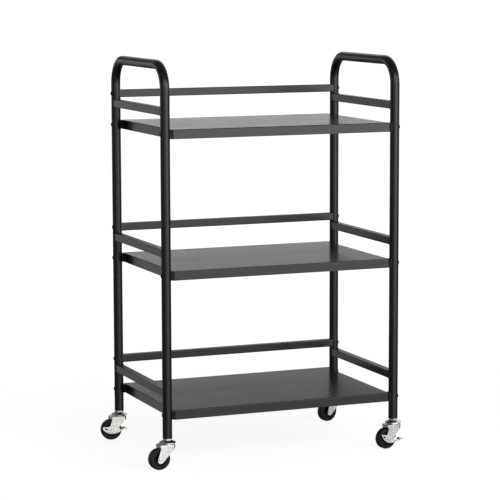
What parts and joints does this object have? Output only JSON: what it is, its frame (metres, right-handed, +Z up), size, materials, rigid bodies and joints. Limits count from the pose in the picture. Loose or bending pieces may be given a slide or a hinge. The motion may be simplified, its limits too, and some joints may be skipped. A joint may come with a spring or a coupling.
{
  "type": "rolling utility cart",
  "caption": "Free-standing steel cart with open sheet-metal shelves between bent tube side frames with hand holds, on swivel casters with side brake levers.",
  "frame": {"origin": "on the floor, midway between the four posts", "axes": "+X along the shelves to the right seen from the open front, +Y from the open front to the back rails, +Z up"},
  "size_m": [0.6335, 0.3853, 0.926],
  "materials": {
    "black_powder_coat": "satin black powder coat",
    "shelf_coat": "satin black powder coat, fine texture",
    "zinc_plate": "bright zinc plate",
    "wheel_hub": "moulded black plastic",
    "wheel_tread": "black rubber",
    "black_plastic": "moulded black plastic",
    "dark_screw": "blackened steel",
    "hidden_steel": "plain steel",
    "greased_steel": "bearing steel under dark grease"
  },
  "bodies": {
    "frame": {"left_frame_tube": "black_powder_coat", "right_frame_tube": "black_powder_coat", "left_side_rail_bottom": "black_powder_coat", "right_side_rail_bottom": "black_powder_coat", "back_rail_bottom": "black_powder_coat", "shelf_bottom": "shelf_coat", "shelf_screws_bottom": "dark_screw", "shelf_nuts_bottom": "hidden_steel", "saddle_spacers_bottom": "black_plastic", "left_side_rail_middle": "black_powder_coat", "right_side_rail_middle": "black_powder_coat", "back_rail_middle": "black_powder_coat", "shelf_middle": "shelf_coat", "shelf_screws_middle": "dark_screw", "shelf_nuts_middle": "hidden_steel", "saddle_spacers_middle": "black_plastic", "left_side_rail_top": "black_powder_coat", "right_side_rail_top": "black_powder_coat", "back_rail_top": "black_powder_coat", "shelf_top": "shelf_coat", "shelf_screws_top": "dark_screw", "shelf_nuts_top": "hidden_steel", "saddle_spacers_top": "black_plastic", "back_rail_screws": "dark_screw", "back_rail_plugs": "black_plastic", "caster_sockets": "hidden_steel", "caster_front_left_stem": "zinc_plate", "caster_front_left_race": "zinc_plate", "caster_front_right_stem": "zinc_plate", "caster_front_right_race": "zinc_plate", "caster_rear_left_stem": "zinc_plate", "caster_rear_left_race": "zinc_plate", "caster_rear_right_stem": "zinc_plate", "caster_rear_right_race": "zinc_plate"},
    "front_left_swivel": {"caster_front_left_balls": "greased_steel", "caster_front_left_fork": "zinc_plate", "caster_front_left_axle": "zinc_plate"},
    "front_left_wheel": {"caster_front_left_hub": "wheel_hub", "caster_front_left_tyre": "wheel_tread"},
    "front_right_swivel": {"caster_front_right_balls": "greased_steel", "caster_front_right_fork": "zinc_plate", "caster_front_right_axle": "zinc_plate"},
    "front_right_wheel": {"caster_front_right_hub": "wheel_hub", "caster_front_right_tyre": "wheel_tread"},
    "front_right_brake": {"caster_front_right_brake_lever": "zinc_plate"},
    "rear_left_swivel": {"caster_rear_left_balls": "greased_steel", "caster_rear_left_fork": "zinc_plate", "caster_rear_left_axle": "zinc_plate"},
    "rear_left_wheel": {"caster_rear_left_hub": "wheel_hub", "caster_rear_left_tyre": "wheel_tread"},
    "rear_left_brake": {"caster_rear_left_brake_lever": "zinc_plate"},
    "rear_right_swivel": {"caster_rear_right_balls": "greased_steel", "caster_rear_right_fork": "zinc_plate", "caster_rear_right_axle": "zinc_plate"},
    "rear_right_wheel": {"caster_rear_right_hub": "wheel_hub", "caster_rear_right_tyre": "wheel_tread"}
  },
  "joints": [
    {"name": "front_left_swivel", "type": "hinge", "parent": "frame", "child": "front_left_swivel", "pos_m": [-0.284, -0.17, 0.0609], "axis": [0, 0, 1], "continuous": true},
    {"name": "front_left_roll", "type": "hinge", "parent": "front_left_swivel", "child": "front_left_wheel", "pos_m": [-0.3045, -0.17, 0.025], "axis": [0, 1, 0], "continuous": true},
    {"name": "front_right_swivel", "type": "hinge", "parent": "frame", "child": "front_right_swivel", "pos_m": [0.284, -0.17, 0.0609], "axis": [0, 0, 1], "continuous": true},
    {"name": "front_right_roll", "type": "hinge", "parent": "front_right_swivel", "child": "front_right_wheel", "pos_m": [0.2637, -0.17285, 0.025], "axis": [-0.1392, 0.9903, 0], "continuous": true},
    {"name": "front_right_brake", "type": "hinge", "parent": "front_right_swivel", "child": "front_right_brake", "pos_m": [0.2637, -0.17285, 0.025], "axis": [-0.1392, 0.9903, 0], "range_deg": [-11, 0]},
    {"name": "rear_left_swivel", "type": "hinge", "parent": "frame", "child": "rear_left_swivel", "pos_m": [-0.284, 0.17, 0.0609], "axis": [0, 0, 1], "continuous": true},
    {"name": "rear_left_roll", "type": "hinge", "parent": "rear_left_swivel", "child": "rear_left_wheel", "pos_m": [-0.30425, 0.17321, 0.025], "axis": [0.1564, 0.9877, 0], "continuous": true},
    {"name": "rear_left_brake", "type": "hinge", "parent": "rear_left_swivel", "child": "rear_left_brake", "pos_m": [-0.30425, 0.17321, 0.025], "axis": [0.1564, 0.9877, 0], "range_deg": [0, 11]},
    {"name": "rear_right_swivel", "type": "hinge", "parent": "frame", "child": "rear_right_swivel", "pos_m": [0.284, 0.17, 0.0609], "axis": [0, 0, 1], "continuous": true},
    {"name": "rear_right_roll", "type": "hinge", "parent": "rear_right_swivel", "child": "rear_right_wheel", "pos_m": [0.26395, 0.16574, 0.025], "axis": [-0.2079, 0.9781, 0], "continuous": true}
  ]
}
